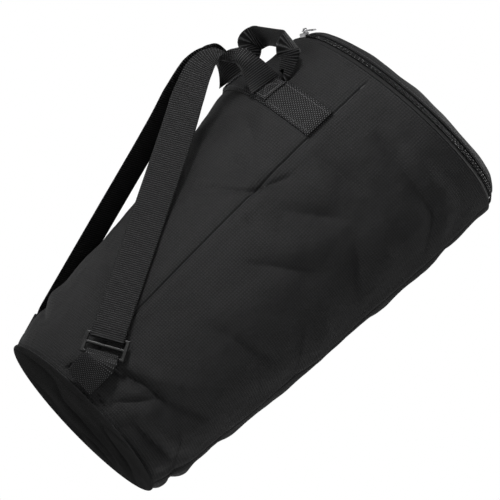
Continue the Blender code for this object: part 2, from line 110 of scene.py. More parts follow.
# Folds of the cloth: (angle, height) at both ends, half width, depth; metres and degrees.
FOLDS = [
    (28, 0.246, 50, 0.284, 0.006, 0.0050), (50, 0.284, 57, 0.322, 0.006, 0.0040),
    (30, 0.300, 47, 0.290, 0.008, 0.0030), (24, 0.340, 40, 0.318, 0.009, 0.0026),
    (74, 0.424, 116, 0.418, 0.008, 0.0034), (112, 0.430, 134, 0.395, 0.009, 0.0026),
    (70, 0.300, 86, 0.330, 0.011, 0.0034), (74, 0.228, 97, 0.272, 0.012, 0.0040),
    (64, 0.044, 95, 0.062, 0.007, 0.0060), (93, 0.060, 120, 0.085, 0.012, 0.0030),
    (43, 0.008, 51, 0.032, 0.005, 0.0070), (36, 0.040, 46, 0.062, 0.006, 0.0030),
    (65, 0.014, 76, 0.009, 0.003, 0.0030), (78, 0.020, 90, 0.048, 0.006, 0.0036),
    (52, 0.262, 66, 0.254, 0.007, 0.0028), (34, 0.222, 44, 0.262, 0.008, 0.0026),
    (95, 0.020, 131, 0.030, 0.007, 0.0040), (120, 0.052, 146, 0.030, 0.009, 0.0032),
    (20, 0.120, 44, 0.070, 0.009, 0.0034), (6, 0.200, 34, 0.160, 0.011, 0.0030),
    (60, 0.360, 84, 0.372, 0.009, 0.0026), (100, 0.330, 128, 0.300, 0.014, 0.0030),
    (84, 0.150, 118, 0.180, 0.014, 0.0034), (118, 0.230, 142, 0.200, 0.012, 0.0030),
    (-10, 0.290, 16, 0.250, 0.010, 0.0030), (-40, 0.260, -16, 0.310, 0.010, 0.0032),
    (-46, 0.120, -20, 0.150, 0.011, 0.0034), (-24, 0.060, 2, 0.040, 0.008, 0.0036),
    (-62, 0.050, -92, 0.070, 0.008, 0.0050), (-70, 0.230, -98, 0.270, 0.012, 0.0036),
    (-75, 0.400, -112, 0.420, 0.009, 0.0032), (-84, 0.150, -120, 0.170, 0.013, 0.0034),
    (-100, 0.330, -132, 0.300, 0.013, 0.0032), (-96, 0.030, -130, 0.022, 0.008, 0.0040),
    (158, 0.090, 196, 0.070, 0.011, 0.0036), (164, 0.300, 200, 0.320, 0.014, 0.0032),
    (156, 0.420, 192, 0.410, 0.010, 0.0030), (170, 0.190, 206, 0.170, 0.013, 0.0030),
    (154, 0.024, 182, 0.030, 0.007, 0.0036), (-166, 0.030, -152, 0.050, 0.008, 0.0030),
]


def tent(angle, share):
    across = (angle / TENT_SPREAD) ** 2
    along = ((share - TENT_CENTRE) / TENT_HEIGHT) ** 2
    return STRAP_TENT * math.exp(-along) / (1.0 + across ** 2)


def wrapped(angle):
    return (angle + 180.0) % 360.0 - 180.0


def from_seam(angle, seam):
    """Metres of cloth between an angle and a seam."""
    return abs(math.radians(wrapped(angle - seam))) * UNROLL


def outwards(angle):
    a = math.radians(angle)
    return Vector((-math.sin(a), math.cos(a), 0.0))


def around(angle, radius, height=0.0):
    a = math.radians(angle)
    return Vector((-radius * math.sin(a), radius * math.cos(a), height))


def fold_shift(angle, height):
    """How far the folds move the cloth outwards at one place."""
    total = 0.0
    for a0, z0, a1, z1, width, depth in FOLDS:
        x = math.radians(wrapped(angle - a0)) * UNROLL
        run_x = math.radians(a1 - a0) * UNROLL
        run_z = z1 - z0
        if abs(x) > abs(run_x) + 5 * width:
            continue
        length = math.hypot(run_x, run_z)
        along = (x * run_x + (height - z0) * run_z) / length
        off = ((height - z0) * run_x - x * run_z) / length
        if not -3 * width < along < length + 3 * width or abs(off) > 5 * width:
            continue
        reach = max(0.0, -along, along - length) / width
        waist = 0.55 + 0.45 * math.sin(math.pi * min(max(along / length, 0.0), 1.0))
        valley = math.exp(0.3 - math.hypot(off / (0.62 * width), 0.3))
        ridge = math.exp(-((off - 2.1 * width) / (1.5 * width)) ** 2)
        under = math.exp(-((off + 2.3 * width) / (1.8 * width)) ** 2)
        profile = 0.75 * ridge + 0.4 * under - valley
        total += FOLD_GAIN * depth * waist * math.exp(-reach ** 2) * profile
    return total


def seam_shift(angle):
    """The pinch along the four long seams, with the cloth full on both sides of it."""
    total = 0.0
    for seam in SEAMS:
        x = from_seam(angle, seam)
        total += 0.0013 * math.exp(-((x - 0.009) / 0.007) ** 2)
        total -= 0.0019 * math.exp(-(x / 0.0013) ** 2)
    return total


def ripple(angle, height):
    """Slow unevenness of loosely filled cloth."""
    a = math.radians(angle)
    place = Vector((math.cos(a) * 1.7, math.sin(a) * 1.7, height * 9.0))
    slow = noise.noise(place + Vector((3.1, 0.4, 1.7)))
    quick = noise.noise(place * 2.7 + Vector((0.2, 5.3, 2.9)))
    fine = noise.noise(place * 7.5 + Vector((7.7, 1.3, 4.2)))
    return 0.0042 * slow + 0.0018 * quick + 0.0005 * fine


def calm(share):
    """Folds fade towards the stiff edges at the base and the rim."""
    low = min(share / 0.016, 1.0)
    high = min((1.0 - share) / 0.04, 1.0)
    return low * low * (3 - 2 * low) * high * high * (3 - 2 * high)


def band_hold(angle, height):
    """0 where the anchor band holds the back panel flat, 1 away from it."""
    if abs(wrapped(angle)) > BACK_SEAM + 3:
        return 1.0
    return 1.0 - math.exp(-((height - BAND_HEIGHT) / 0.026) ** 4)


def under_strap(angle, share):
    """1 where a strap and its buckle lie close over the wall, 0 away from them."""
    across = (abs(wrapped(angle)) - 52.0) / 26.0
    return math.exp(-across ** 4) * math.exp(-(share / 0.72) ** 8)


def cut_shape(angle, share):
    """The wall as cut and folded, before its slack settles."""
    radial = outwards(angle)
    foot = radial * BASE_RADIUS + Vector((0.0, 0.0, WALL_FOOT))
    head = RIM @ (radial * RIM_RADIUS)
    place = foot.lerp(head, share)
    loose = fold_shift(angle, place.z) + ripple(angle, place.z)
    loose -= STRAP_PRESS * under_strap(angle, share) * max(0.0, loose + 0.001)
    swell = WALL_BULGE * math.sin(math.pi * share) + tent(angle, share)
    swell += loose * calm(share) * band_hold(angle, place.z)
    return place + radial * swell


# --- the slack of the cloth, by simulation ---
SETTLE_COLUMNS = 216
SETTLE_ROWS = 100
SETTLE_FRAMES = 26
SLACK = 0.034              # how much longer the cloth is than the shape it was cut to
MOST_SHIFT = 0.0085
FINER = 4                  # how much finer the smoothed shifts are kept


def catmull_rom(p0, p1, p2, p3, u):
    return 0.5 * (2 * p1 + (p2 - p0) * u + (2 * p0 - 5 * p1 + 4 * p2 - p3) * u ** 2
                  + (3 * p1 - p0 - 3 * p2 + p3) * u ** 3)


def cubic_finer(grid, axis, wrap):
    """The same grid with FINER steps for each step along one axis."""
    grid = np.moveaxis(grid, axis, 0)
    if wrap:
        padded = np.concatenate((grid[-1:], grid, grid[:2]))
        last = len(grid)
    else:
        padded = np.concatenate((grid[:1], grid, grid[-1:]))
        last = len(grid) - 1
    rows = []
    for k in range(last):
        for j in range(FINER):
            rows.append(catmull_rom(*padded[k:k + 4], j / FINER))
    if not wrap:
        rows.append(grid[-1])
    return np.moveaxis(np.array(rows), 0, axis)


def hold(angle, share):
    """How firmly a place is held while the cloth settles."""
    ends = max(1.0 - share / 0.02, 1.0 - (1.0 - share) / 0.035, 0.0)
    height = share * RIM_HEIGHT
    band = 1.0 - band_hold(angle, height)
    seams = 0.0
    for seam in SEAMS:
        x = from_seam(angle, seam)
        seams = max(seams, 0.55 * math.exp(-(x / 0.006) ** 2))
    return min(1.0, max(ends * 1.6, band, seams))


def looseness(angle, share):
    """How much of the slack a place has: little beside the rim, the base and on the front."""
    from_base = min(1.0, share / 0.10)
    from_rim = min(1.0, (1.0 - share) / 0.22)
    front = 0.5 + 0.5 * math.cos(math.radians(angle))
    return from_base * from_rim ** 1.5 * (0.45 + 0.55 * front)


SETTLING = {
    "quality": 5, "mass": 0.25, "tension_stiffness": 12.0, "compression_stiffness": 12.0,
    "shear_stiffness": 4.0, "bending_stiffness": 0.35, "vertex_group_shrink": "slack",
    "shrink_min": 0.0, "shrink_max": -SLACK, "vertex_group_mass": "held",
    "use_pressure": True, "uniform_pressure_force": 0.25,
}


def weigh(cloth, name, weights):
    group = cloth.vertex_groups.new(name=name)
    for index, weight in enumerate(weights):
        group.add([index], weight, "REPLACE")


def settle(cloth):
    """Runs the simulation and gives how far each point of the cloth moved."""
    modifier = cloth.modifiers.new("settle", "CLOTH")
    for key, value in SETTLING.items():
        setattr(modifier.settings, key, value)
    modifier.settings.effector_weights.gravity = 0.0
    modifier.collision_settings.use_collision = False
    scene = bpy.context.scene
    scene.frame_start = 1
    scene.frame_end = SETTLE_FRAMES
    modifier.point_cache.frame_end = SETTLE_FRAMES
    for frame_number in range(1, SETTLE_FRAMES + 1):
        scene.frame_set(frame_number)
    done = cloth.evaluated_get(bpy.context.evaluated_depsgraph_get()).data
    end = np.array([v.co for v in done.vertices])
    scene.frame_set(1)
    return end - np.array([v.co for v in cloth.data.vertices])


def settled_shifts():
    """Grows the cloth a little between its held edges and gives how far each place moved."""
    angles = [360.0 * k / SETTLE_COLUMNS for k in range(SETTLE_COLUMNS)]
    shares = [j / SETTLE_ROWS for j in range(SETTLE_ROWS + 1)]
    bm = bmesh.new()
    grid = [[bm.verts.new(cut_shape(a, s)) for s in shares] for a in angles]
    for here, there in zip(grid, grid[1:] + grid[:1]):
        for j in range(SETTLE_ROWS):
            bm.faces.new((here[j], there[j], there[j + 1], here[j + 1]))
    cloth = link("settling", bm, CLOTH_LOOK)
    weigh(cloth, "held", [hold(a, s) for a in angles for s in shares])
    weigh(cloth, "slack", [looseness(a, s) for a in angles for s in shares])
    shift = settle(cloth)
    length = np.linalg.norm(shift, axis=1, keepdims=True)
    shift *= MOST_SHIFT * np.tanh(length / MOST_SHIFT) / np.maximum(length, 1e-9)
    shift = shift.reshape(SETTLE_COLUMNS, SETTLE_ROWS + 1, 3)
    bpy.data.objects.remove(cloth)
    return cubic_finer(cubic_finer(shift, 0, True), 1, False)


def shift_at(angle, share):
    if SHIFTS is None:
        return Vector((0.0, 0.0, 0.0))
    x = (angle % 360.0) / 360.0 * SETTLE_COLUMNS * FINER
    y = min(max(share, 0.0), 1.0) * SETTLE_ROWS * FINER
    i, j = int(x), min(int(y), SETTLE_ROWS * FINER - 1)
    u, v = x - i, y - j
    m = (i + 1) % (SETTLE_COLUMNS * FINER)
    i %= SETTLE_COLUMNS * FINER
    low = SHIFTS[i][j] * (1 - u) + SHIFTS[m][j] * u
    high = SHIFTS[i][j + 1] * (1 - u) + SHIFTS[m][j + 1] * u
    return Vector(low * (1 - v) + high * v)


@lru_cache(maxsize=None)
def surface(angle, share):
    """The outer face of the finished wall, as three numbers."""
    radial = outwards(angle)
    lip = -FOOT_TUCK * math.exp(-(share / 0.022) ** 2)
    shift = shift_at(angle, share)
    swollen = max(0.0, shift.dot(radial))
    shift -= radial * (STRAP_PRESS * under_strap(angle, share) * swollen)
    return tuple(cut_shape(angle, share) + shift
                 + radial * (seam_shift(angle) * calm(share) + lip))


def skin(angle, share, depth=0.0):
    """A point of the cloth: share 0 is the base seam, 1 the rim; depth is inwards."""
    return Vector(surface(angle, share)) - outwards(angle) * depth


def share_at(height):
    top = (RIM @ Vector((0.0, RIM_RADIUS, 0.0))).z
    return (height - WALL_FOOT) / (top - WALL_FOOT)


def slope_point(angle, along, depth):
    """A point of the zip band, in the rim frame."""
    radius = RIM_RADIUS - along * math.sin(SLOPE) - depth * math.cos(SLOPE)
    return around(angle, radius, along * math.cos(SLOPE) - depth * math.sin(SLOPE))


def on_rim(angle, along, depth):
    return RIM @ slope_point(angle, along, depth)


# --- mesh building ---
def steps(first, last, count):
    return [first + (last - first) * k / count for k in range(count + 1)]


def link(name, bm, look, outward=True):
    if outward:
        bmesh.ops.recalc_face_normals(bm, faces=bm.faces)
    mesh = bpy.data.meshes.new(name)
    bm.to_mesh(mesh)
    bm.free()
    mesh.shade_smooth()
    mesh.set_sharp_from_angle(angle=math.radians(50))
    mesh.materials.append(look)
    made = bpy.data.objects.new(name, mesh)
    bpy.context.scene.collection.objects.link(made)
    return made


def link_cloth(name, bm, coords, look):
    """Links a mesh whose points have cloth coordinates, which become its UVs."""
    layer = bm.loops.layers.uv.new("cloth")
    for face in bm.faces:
        for loop in face.loops:
            loop[layer].uv = coords[loop.vert]
    return link(name, bm, look)


def join_rings(bm, rings):
    for here, there in zip(rings, rings[1:]):
        for k in range(len(here)):
            m = (k + 1) % len(here)
            bm.faces.new((here[k], here[m], there[m], there[k]))


def close_ends(bm, rings):
    bm.faces.new(rings[0])
    bm.faces.new(list(reversed(rings[-1])))


def wire_ring(bm, place, side, lift, radius, sides):
    turns = [2 * math.pi * j / sides for j in range(sides)]
    return [bm.verts.new(place + (side * math.cos(a) + lift * math.sin(a)) * radius) for a in turns]


def thicken(bm, thickness):
    """Gives flat faces their thickness, downwards."""
    whole = bmesh.ops.extrude_face_region(bm, geom=list(bm.faces))
    moved = [item for item in whole["geom"] if isinstance(item, bmesh.types.BMVert)]
    bmesh.ops.translate(bm, verts=moved, vec=(0.0, 0.0, -thickness))


def sheet_block(name, us, vs, outer, inner, look, closed=False, uv=None):
    """A cloth piece between two surfaces outer(u, v) and inner(u, v); UVs are in metres."""
    bm = bmesh.new()
    uv = uv or (lambda u, v: (math.radians(u) * UNROLL, v))
    coords = {}

    def put(point, u, v):
        vert = bm.verts.new(point)
        coords[vert] = uv(u, v)
        return vert

    front = [[put(outer(u, v), u, v) for v in vs] for u in us]
    back = [[put(inner(u, v), u, v) for v in vs] for u in us]
    count = len(us)
    rows = len(vs)
    for i in range(count if closed else count - 1):
        j = (i + 1) % count
        for k in range(rows - 1):
            bm.faces.new((front[i][k], front[i][k + 1], front[j][k + 1], front[j][k]))
            bm.faces.new((back[i][k], back[j][k], back[j][k + 1], back[i][k + 1]))
        bm.faces.new((front[i][0], front[j][0], back[j][0], back[i][0]))
        bm.faces.new((front[j][-1], front[i][-1], back[i][-1], back[j][-1]))
    if not closed:
        for k in range(rows - 1):
            bm.faces.new((front[0][k], back[0][k], back[0][k + 1], front[0][k + 1]))
            bm.faces.new((front[-1][k + 1], back[-1][k + 1], back[-1][k], front[-1][k]))
    return link_cloth(name, bm, coords, look)


def smooth_route(points, count):
    """A curve through (place, width direction, width) rows."""
    rows = [(Vector(p), Vector(w).normalized(), width) for p, w, width in points]
    padded = [rows[0]] + rows + [rows[-1]]
    route = []
    for k in range(1, len(padded) - 2):
        near = [row[0] for row in padded[k - 1:k + 3]]
        for j in range(count):
            u = j / count
            place = catmull_rom(*near, u)
            side = padded[k][1].lerp(padded[k + 1][1], u)
            width = padded[k][2] + (padded[k + 1][2] - padded[k][2]) * u
            route.append((place, side, width))
    route.append(rows[-1])
    return route


FOLD_DEPTH = 0.7           # how deep folded webbing is, as a share of the width it loses


def ribbon(name, route, thickness, look, folds=False):
    """Webbing along a route, with soft edges; UVs are in metres across and along.

    Where the route is narrower than the webbing, the webbing is folded along its middle.
    """
    full = max(width for place, across, width in route)
    fold_way = 1.0
    upper = [(-0.5, 0.0), (-0.485, 0.36), (-0.45, 0.5), (-0.25, 0.5), (0.0, 0.5), (0.25, 0.5),
             (0.45, 0.5), (0.485, 0.36)]
    section = upper + [(-x, -y) for x, y in upper]
    bm = bmesh.new()
    coords = {}
    rings = []
    run_length = 0.0
    last = len(route) - 1
    for k, (place, across, width) in enumerate(route):
        before = route[max(k - 1, 0)][0]
        after = route[min(k + 1, last)][0]
        run_length += (place - before).length
        run = (after - before).normalized()
        side = (across - run * across.dot(run)).normalized()
        flat = run.cross(side)
        ring = []
        if k == 0 and flat.xy.dot(place.xy) < 0:
            fold_way = -1.0
        fold = fold_way * FOLD_DEPTH * (full - width) if folds else 0.0
        for x, y in section:
            bow = fold * (1 - 4 * x * x)
            vert = bm.verts.new(place + side * (x * width) + flat * (y * thickness + bow))
            coords[vert] = (x * width, run_length)
            ring.append(vert)
        rings.append(ring)
    join_rings(bm, rings)
    close_ends(bm, rings)
    return link_cloth(name, bm, coords, look)


def tube(name, paths, radius, look, sides=6):
    """Round wire along one or more paths of points."""
    bm = bmesh.new()
    for path in paths:
        rings = []
        lift = Vector((0.0, 0.0, 1.0))
        last = len(path) - 1
        for k, place in enumerate(path):
            run = (path[min(k + 1, last)] - path[max(k - 1, 0)]).normalized()
            side = run.cross(lift)
            if side.length < 0.05:
                side = run.cross(Vector((1.0, 0.0, 0.0)))
            side.normalize()
            lift = side.cross(run)
            rings.append(wire_ring(bm, place, side, lift, radius, sides))
        join_rings(bm, rings)
        close_ends(bm, rings)
    return link(name, bm, look)


def stitch_row(name, path, look, spacing=0.0036, length=0.0026, radius=0.00028):
    """A row of separate lock stitches along a path that lies on the cloth."""
    marks = []
    walked = 0.0
    for here, there in zip(path, path[1:]):
        step = (there - here).length
        while walked < step:
            marks.append(here.lerp(there, walked / step))
            walked += spacing
        walked -= step
    runs = []
    for here, there in zip(marks, marks[1:]):
        run = (there - here).normalized() * length
        runs.append([here, here + run * 0.2, here + run * 0.8, here + run])
    bm = bmesh.new()
    for run in runs:
        rings = []
        for k, place in enumerate(run):
            size = radius * (0.45 if k in (0, 3) else 1.0)
            way = (run[-1] - run[0]).normalized()
            side = way.cross(Vector((0.31, 0.22, 0.93))).normalized()
            rings.append(wire_ring(bm, place, side, side.cross(way), size, 5))
        join_rings(bm, rings)
        close_ends(bm, rings)
    return link(name, bm, look)


# --- materials ---
class Graph:
    """A material and short names for wiring its nodes."""

    def __init__(self, name, roughness, specular, metallic=0.0):
        self.look = bpy.data.materials.new(name)
        self.look.use_nodes = True
        self.tree = self.look.node_tree
        self.shader = self.tree.nodes["Principled BSDF"]
        self.set("Roughness", roughness)
        self.set("Specular IOR Level", specular)
        self.set("Metallic", metallic)

    def set(self, socket, value):
        self.shader.inputs[socket].default_value = value

    def node(self, kind, **settings):
        made = self.tree.nodes.new(kind)
        for key, value in settings.items():
            setattr(made, key, value)
        return made

    def join(self, source, target):
        self.tree.links.new(source, target)

    def math(self, operation, *values):
        made = self.node("ShaderNodeMath", operation=operation)
        for k, value in enumerate(values):
            if isinstance(value, (int, float)):
                made.inputs[k].default_value = value
            else:
                self.join(value, made.inputs[k])
        return made.outputs[0]

    def times(self, value, factor):
        return self.math("MULTIPLY", value, factor)

    def plus(self, first, *others):
        for value in others:
            first = self.math("ADD", first, value)
        return first

    def ribs(self, axis, pitch):
        """Round ribs, one for each pitch."""
        return self.math("ABSOLUTE", self.math("SINE", self.times(axis, math.pi / pitch)))

    def cloth_axes(self):
        """Metres across and along the cloth."""
        place = self.node("ShaderNodeUVMap", uv_map="cloth").outputs[0]
        split = self.node("ShaderNodeSeparateXYZ")
        self.join(place, split.inputs[0])
        return split.outputs[0], split.outputs[1]

    def place(self):
        return self.node("ShaderNodeTexCoord").outputs["Object"]

    def noise(self, scale, detail=3.0, vector=None):
        made = self.node("ShaderNodeTexNoise")
        made.inputs["Scale"].default_value = scale
        made.inputs["Detail"].default_value = detail
        self.join(vector or self.place(), made.inputs["Vector"])
        return made.outputs["Fac"]

    def ramp(self, value, *stops):
        made = self.node("ShaderNodeValToRGB")
        marks = made.color_ramp.elements
        while len(marks) < len(stops):
            marks.new(0.5)
        for mark, (at, colour) in zip(marks, stops):
            mark.position = at
            mark.color = (*colour, 1.0)
        self.join(value, made.inputs[0])
        return made.outputs[0]

    def colour(self, source):
        self.join(source, self.shader.inputs["Base Color"])

    def roughness(self, source):
        self.join(source, self.shader.inputs["Roughness"])

    def sheen(self, weight, roughness, tint):
        self.set("Sheen Weight", weight)
        self.set("Sheen Roughness", roughness)
        self.set("Sheen Tint", (*tint, 1.0))

    def bump(self, height, distance, strength):
        made = self.node("ShaderNodeBump")
        made.inputs["Distance"].default_value = distance
        made.inputs["Strength"].default_value = strength
        self.join(height, made.inputs["Height"])
        self.join(made.outputs[0], self.shader.inputs["Normal"])


def grey(value, blue=1.03):
    return (value, value, value * blue)


def oxford_cloth():
    """Coated woven nylon: basket weave, a faint coarser grid and slow unevenness."""
    pitch = 0.00072
    grid_pitch = 0.0029
    g = Graph("oxford_cloth", 0.55, 0.20)
    across, along = g.cloth_axes()
    warp = g.ribs(across, pitch)
    weft = g.ribs(along, pitch)
    cell_x = g.math("FLOOR", g.times(across, 1 / pitch))
    cell_y = g.math("FLOOR", g.times(along, 1 / pitch))
    over = g.math("FLOORED_MODULO", g.plus(cell_x, cell_y), 2.0)
    weave = g.plus(g.times(warp, over),
                   g.times(weft, g.math("SUBTRACT", 1.0, over)))
    waves = []
    for axis in (across, along):
        wave = g.math("COSINE", g.times(axis, math.pi / grid_pitch))
        waves.append(g.math("ABSOLUTE", wave))
    lattice = g.times(*waves)
    slow = g.noise(14.0, 4.0)
    fine = g.noise(520.0, 3.0)
    tone = g.plus(g.times(slow, 0.40), g.times(fine, 0.46), g.times(weave, 0.16),
                  g.times(lattice, 0.36))
    g.colour(g.ramp(tone, (0.46, grey(0.0008)), (0.94, grey(0.0185))))
    g.roughness(g.ramp(slow, (0.3, grey(0.50, 1.0)), (0.7, grey(0.66, 1.0))))
    g.sheen(0.015, 0.45, grey(0.75))
    height = g.plus(weave, g.times(lattice, 2.2), g.times(g.noise(260.0, 3.0), 1.6))
    g.bump(height, 0.00022, 0.75)
    return g.look


def webbing_look(name, dark, light, cell, rise=1.0):
    """Woven polyester: rows of small floats, staggered like bricks, with a painted highlight on the
    crest of each float, bright on black.
    """
    g = Graph(name, 0.50, 0.12)
    across, along = g.cloth_axes()
    row = g.math("FLOOR", g.times(along, 1 / cell[1]))
    shift = g.times(g.math("FLOORED_MODULO", row, 2.0), math.pi / 2)
    phase = g.plus(g.times(across, math.pi / cell[0]), shift)
    ridge = g.math("ABSOLUTE", g.math("SINE", phase))
    body = g.times(ridge, g.ribs(along, cell[1]))
    # Painted highlight: the crest of each float is made pale in the colour, where light would glint on
    # it.
    painted_glint = g.math("POWER", body, 4.0)
    grain = g.noise(1400.0, 2.0)
    tone = g.plus(g.times(painted_glint, 0.80), g.times(grain, 0.24))
    # The ramp's top stop, light, is the colour of the painted highlights; dark is the webbing's own
    # black.
    g.colour(g.ramp(tone, (0.15, grey(dark)), (0.40, grey(dark * 2.0)), (0.92, grey(light))))
    g.sheen(0.02, 0.4, grey(0.8))
    g.bump(g.plus(body, g.times(grain, 0.35)), 0.00034 * rise, 0.9)
    return g.look


def tape_look(name, base, pitch):
    """Narrow twill with ribs along its length."""
    g = Graph(name, 0.56, 0.22)
    across, along = g.cloth_axes()
    rib = g.ribs(g.plus(across, g.times(along, 0.5)), pitch)
    grain = g.noise(1200.0, 2.0)
    tone = g.plus(g.times(rib, 0.5), g.times(grain, 0.5))
    g.colour(g.ramp(tone, (0.2, grey(base * 0.6)), (0.9, grey(base * 1.5))))
    g.sheen(0.04, 0.45, grey(0.8))
    g.bump(g.plus(rib, g.times(grain, 0.4)), 0.00016, 0.8)
    return g.look


def moulded(name, base, rough, specular):
    """Moulded plastic: slight grain, duller and paler where it is rubbed."""
    g = Graph(name, rough, specular)
    wear = g.noise(90.0, 4.0)
    grain = g.noise(2600.0, 2.0)
    edge = g.node("ShaderNodeNewGeometry").outputs["Pointiness"]
    rub = g.times(g.math("MAXIMUM", g.math("SUBTRACT", edge, 0.57), 0.0), 1.5)
    tone = g.plus(g.times(wear, 0.4), rub)
    g.colour(g.ramp(tone, (0.1, grey(base)), (0.6, grey(base * 2.2))))
    g.roughness(g.ramp(wear, (0.3, grey(rough * 0.85, 1.0)), (0.7, grey(rough * 1.2, 1.0))))
    g.bump(g.plus(grain, g.times(wear, 0.8)), 0.00008, 0.5)
    return g.look


def nickel():
    """Plated zip metal with fine scratches."""
    g = Graph("zip_metal", 0.28, 0.5, 1.0)
    blotch = g.noise(160.0, 4.0)
    stretched = g.node("ShaderNodeMapping")
    stretched.inputs["Scale"].default_value = (120.0, 120.0, 2400.0)
    g.join(g.place(), stretched.inputs["Vector"])
    scratch = g.noise(1.0, 3.0, stretched.outputs[0])
    tone = g.plus(g.times(blotch, 0.5), g.times(scratch, 0.5))
    g.colour(g.ramp(tone, (0.25, (0.42, 0.42, 0.43)), (0.75, (0.74, 0.74, 0.75))))
    g.roughness(g.ramp(tone, (0.25, grey(0.40, 1.0)), (0.75, grey(0.22, 1.0))))
    g.bump(scratch, 0.00003, 0.4)
    return g.look


def thread_look():
    g = Graph("sewing_thread", 0.45, 0.35)
    twist = g.noise(3000.0, 2.0)
    g.colour(g.ramp(twist, (0.3, grey(0.020)), (0.7, grey(0.090))))
    g.sheen(0.10, 0.4, grey(0.8))
    g.bump(twist, 0.00008, 0.7)
    return g.look


CLOTH_LOOK = oxford_cloth()
# The third number of each webbing look is the colour of its painted highlights.
BAND_LOOK = webbing_look("glint_painted_webbing", 0.0015, 0.150, (0.0030, 0.0020))
WEB_LOOK = webbing_look("ribbed_webbing", 0.0012, 0.115, (0.0012, 0.0024))
TAB_LOOK = webbing_look("fine_webbing", 0.0020, 0.080, (0.0026, 0.0018), 0.8)
BINDING_LOOK = tape_look("grosgrain", 0.020, 0.0011)
ZIP_TAPE_LOOK = tape_look("zip_tape", 0.009, 0.0007)
COIL_LOOK = moulded("zip_coil", 0.009, 0.26, 0.45)
PLASTIC_LOOK = moulded("acetal", 0.0030, 0.30, 0.28)
METAL_LOOK = nickel()
THREAD_LOOK = thread_look()


SHIFTS = settled_shifts()


# --- soft walls ---
WALL_LENGTH = 0.480
ROWS = 240
FINE_STEP = 0.6            # degrees between the columns of the cloth


def wall_uv(angle, share):
    return math.radians(angle) * UNROLL, share * WALL_LENGTH


def band_uv(angle, along):
    return math.radians(angle) * RIM_RADIUS, along


def wall_sheet(name, angles, shares, depths, look, closed=False, uv=wall_uv):
    """Cloth that follows the wall, between two depths."""
    near, far = depths
    return sheet_block(name, angles, shares, lambda a, s: skin(a, s, near),
                       lambda a, s: skin(a, s, far), look, closed, uv)


def rim_sheet(name, angles, alongs, depths, look, closed=False):
    """Cloth or tape on the sloping band under the lid's edge, between two depths."""
    near, far = depths
    return sheet_block(name, angles, alongs, lambda a, b: on_rim(a, b, near),
                       lambda a, b: on_rim(a, b, far), look, closed, band_uv)


def columns_over(first, last, step=FINE_STEP):
    return steps(first, last, max(2, round((last - first) / step)))


def seamed_columns(first, last):
    """Columns with extra ones beside the seams at both ends."""
    extra = (0.12, 0.27, 0.43)
    more = [first + e for e in extra] + [last - e for e in extra]
    return sorted(columns_over(first, last) + more)


def eased_shares(first, last, count):
    """Shares with extra rows near both ends, where the cloth turns into its seams."""
    middle = steps(first, last, count)
    edge = (last - first) * 0.004
    return sorted(middle + [first + edge, first + 2 * edge, last - edge, last - 2 * edge])


def keep(piece, body, slot, *nodes):
    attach(piece, body)
    if nodes:
        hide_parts(*nodes)
    return piece


def bend_piece(piece, start, end, node):
    """A soft piece: bakes its placement into its mesh and hides the CAD part it replaces; start and
    end are not used.
    """
    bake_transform(piece)
    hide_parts(node)


def build_walls():
    spans = {
        "back_wall": (-BACK_SEAM, BACK_SEAM, "back_panel"),
        "side_wall_left": (BACK_SEAM, FRONT_SEAM, "side_panel_left"),
        "side_wall_right": (-FRONT_SEAM, -BACK_SEAM, "side_panel_right"),
        "front_wall": (FRONT_SEAM, 360.0 - FRONT_SEAM, "front_panel"),
    }
    shares = eased_shares(0.0, 1.0, ROWS)
    for name, (first, last, node) in spans.items():
        wall = wall_sheet(name, seamed_columns(first, last), shares, (0.0, CLOTH), CLOTH_LOOK)
        keep(wall, "bag", "oxford_cloth", node)


def inner_tape(name, angles, shares, node, closed=False):
    near = CLOTH + 0.0003
    tape = wall_sheet(name, angles, shares, (near, near + 0.0009), BINDING_LOOK, closed)
    keep(tape, "bag", "binding_tape", node)


def build_inner_tapes():
    half = math.degrees(0.008 / RIM_RADIUS)
    for name, angle in (("back_seam_tape_left", BACK_SEAM), ("back_seam_tape_right", -BACK_SEAM),
                        ("front_seam_tape_left", FRONT_SEAM), ("front_seam_tape_right", -FRONT_SEAM)):
        inner_tape(name, columns_over(angle - half, angle + half, 1.2), steps(0.030, 0.950, 160),
                   name.replace("tape", "binding"))
    ring = steps(0.0, 360.0 - 2.0, 179)
    inner_tape("base_tape", ring, steps(0.002, 0.026, 8), "base_binding", True)
    inner_tape("rim_tape", ring, steps(0.958, 0.998, 10), "rim_facing", True)


def disc(name, count, rings, outer, inner, look, uv):
    """A closed round cloth piece: rings of shares from 1 inwards, and a middle point."""
    bm = bmesh.new()
    coords = {}
    edges = []
    for side in (outer, inner):

        def put(angle, share):
            vert = bm.verts.new(side(angle, share))
            coords[vert] = uv(angle, share)
            return vert

        rows = [[put(360.0 * k / count, share) for k in range(count)] for share in rings]
        middle = put(0.0, 0.0)
        join_rings(bm, rows)
        for k in range(count):
            bm.faces.new((rows[-1][k], rows[-1][(k + 1) % count], middle))
        edges.append(rows[0])
    join_rings(bm, edges)
    return link_cloth(name, bm, coords, look)


def flat_uv(radius):
    def place(angle, share):
        return around(angle, radius * share).xy
    return place


def base_point(angle, share, depth=0.0):
    """The base cloth: it rests near its seam and hollows a little towards the middle."""
    place = around(angle, (BASE_RADIUS - FOOT_TUCK + 0.0010) * share)
    rest = 0.0002 + 0.0030 * (1 - share ** 2) ** 2
    crease = 1.0 - abs(noise.noise(place * 17.0 + Vector((2.0, 1.0, 0.5)))) * 2.6
    wave = 0.0016 * (noise.noise(place * 26.0) + 0.6) + 0.0022 * max(crease, 0.0) ** 3
    wave *= 1 - share ** 8
    turned = 0.0004 * max(0.0, (share - 0.965) / 0.035) ** 2
    place.z = max(rest + wave, 0.0002) + turned + depth
    return place


def build_base():
    rings = [1.0, 0.995, 0.99, 0.98, 0.97, 0.96] + [0.94 - 0.94 * k / 40 for k in range(40)]
    base = disc("base_cloth", 240, rings, base_point, lambda a, s: base_point(a, s, CLOTH),
                CLOTH_LOOK, flat_uv(BASE_RADIUS))
    keep(base, "bag", "oxford_cloth", "base_panel")


